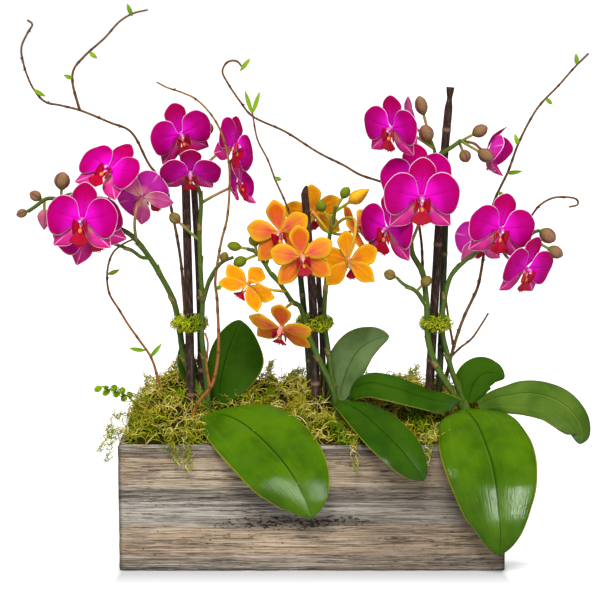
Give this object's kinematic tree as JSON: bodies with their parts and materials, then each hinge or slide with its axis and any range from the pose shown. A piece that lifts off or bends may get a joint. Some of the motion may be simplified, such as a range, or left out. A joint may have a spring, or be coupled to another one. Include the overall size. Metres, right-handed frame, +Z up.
{
  "type": "moth orchid planter",
  "caption": "Weathered wooden box planter with flowering miniature moth orchids in magenta and orange, tied to dark cane stakes in a moss bed with curly willow branches.",
  "frame": {"origin": "centre of the box's underside, on the surface it stands on", "axes": "+X right along the box seen from the front, +Y to the back, +Z up"},
  "size_m": [0.4561, 0.133, 0.443],
  "materials": {
    "wood": "weathered, unsealed",
    "liner": "matt black sheet",
    "bark": "rough chips",
    "moss": "dried curly strands",
    "tie_moss": "dyed curly strands",
    "cane": "dark satin cane",
    "green_cane": "dark green satin cane",
    "willow": "thin smooth bark",
    "stem": "satin plant skin",
    "leaf": "waxy, glossy",
    "magenta_petal": "soft velvety petal",
    "orange_petal": "soft velvety petal"
  },
  "bodies": {
    "root": {"board_front": "wood", "board_back": "wood", "board_left": "wood", "board_right": "wood", "board_floor": "wood", "liner_tray": "liner", "bark_mix": "bark", "moss_bed": "moss", "left_stake_tall": "cane", "left_stake_short": "cane", "middle_stake_tall": "cane", "middle_stake_short": "cane", "middle_stake_dark": "green_cane", "right_stake_tall": "cane", "right_stake_green": "green_cane", "branch_left_hooked": "willow", "branch_left_low": "willow", "branch_left_front": "willow", "branch_middle": "willow", "branch_arching": "willow", "branch_right": "willow", "left_leaf_upright": "leaf", "left_leaf_behind": "leaf", "left_leaf_front": "leaf", "middle_leaf_upright": "leaf", "middle_leaf_front": "leaf", "middle_leaf_arching": "leaf", "right_leaf_upright": "leaf", "right_leaf_front": "leaf", "right_leaf_arching": "leaf", "left_plant_stems": "stem", "middle_plant_stems": "stem", "right_plant_stems": "stem", "left_bloom_1": "magenta_petal", "left_bloom_2": "magenta_petal", "left_bloom_3": "magenta_petal", "left_bloom_4": "magenta_petal", "left_bloom_5": "magenta_petal", "left_bloom_6": "magenta_petal", "left_bloom_7": "magenta_petal", "left_bloom_8": "magenta_petal", "middle_bloom_1": "orange_petal", "middle_bloom_2": "orange_petal", "middle_bloom_3": "orange_petal", "middle_bloom_4": "orange_petal", "middle_bloom_5": "orange_petal", "middle_bloom_6": "orange_petal", "middle_bloom_7": "orange_petal", "right_bloom_1": "magenta_petal", "right_bloom_2": "magenta_petal", "right_bloom_3": "magenta_petal", "right_bloom_4": "magenta_petal", "right_bloom_5": "magenta_petal", "right_bloom_6": "magenta_petal", "right_bloom_7": "magenta_petal", "right_bloom_8": "magenta_petal", "right_bloom_9": "magenta_petal", "left_moss_tie": "tie_moss", "middle_moss_tie": "tie_moss", "right_moss_tie": "tie_moss"}
  },
  "joints": []
}
